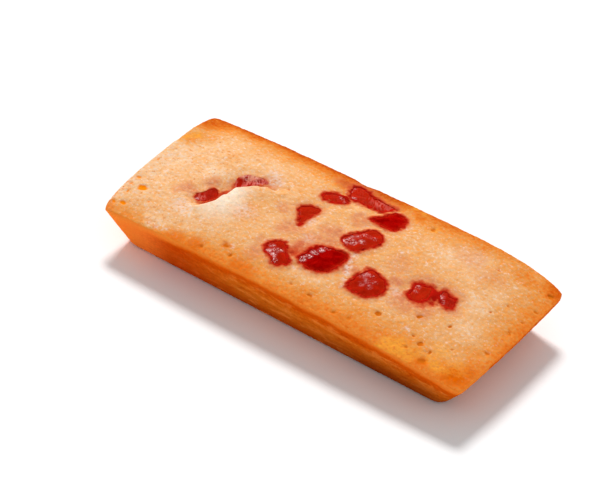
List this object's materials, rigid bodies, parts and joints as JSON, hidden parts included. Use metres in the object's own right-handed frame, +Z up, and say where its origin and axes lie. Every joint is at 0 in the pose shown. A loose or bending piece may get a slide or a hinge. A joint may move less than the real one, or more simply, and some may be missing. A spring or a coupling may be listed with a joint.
{
  "type": "financier cake",
  "caption": "Small ingot-shaped almond cake with sloping sides, a low domed top split on one side, and pieces of red fruit sunk in the top.",
  "frame": {"origin": "on the table, under the middle of the cake's outline", "axes": "+X along the length, +Y across the width, +Z up from the flat base to the fruit"},
  "size_m": [0.086, 0.042, 0.013],
  "materials": {
    "crumb": "baked golden crumb, browner at the rim and side",
    "fruit": "glossy, jammy deep red fruit"
  },
  "bodies": {
    "root": {"cake": "crumb", "fruit_01": "fruit", "fruit_02": "fruit", "fruit_03": "fruit", "fruit_04": "fruit", "fruit_05": "fruit", "fruit_06": "fruit", "fruit_07": "fruit", "fruit_08": "fruit", "fruit_09": "fruit", "fruit_10": "fruit", "fruit_11": "fruit", "fruit_12": "fruit"}
  },
  "joints": []
}
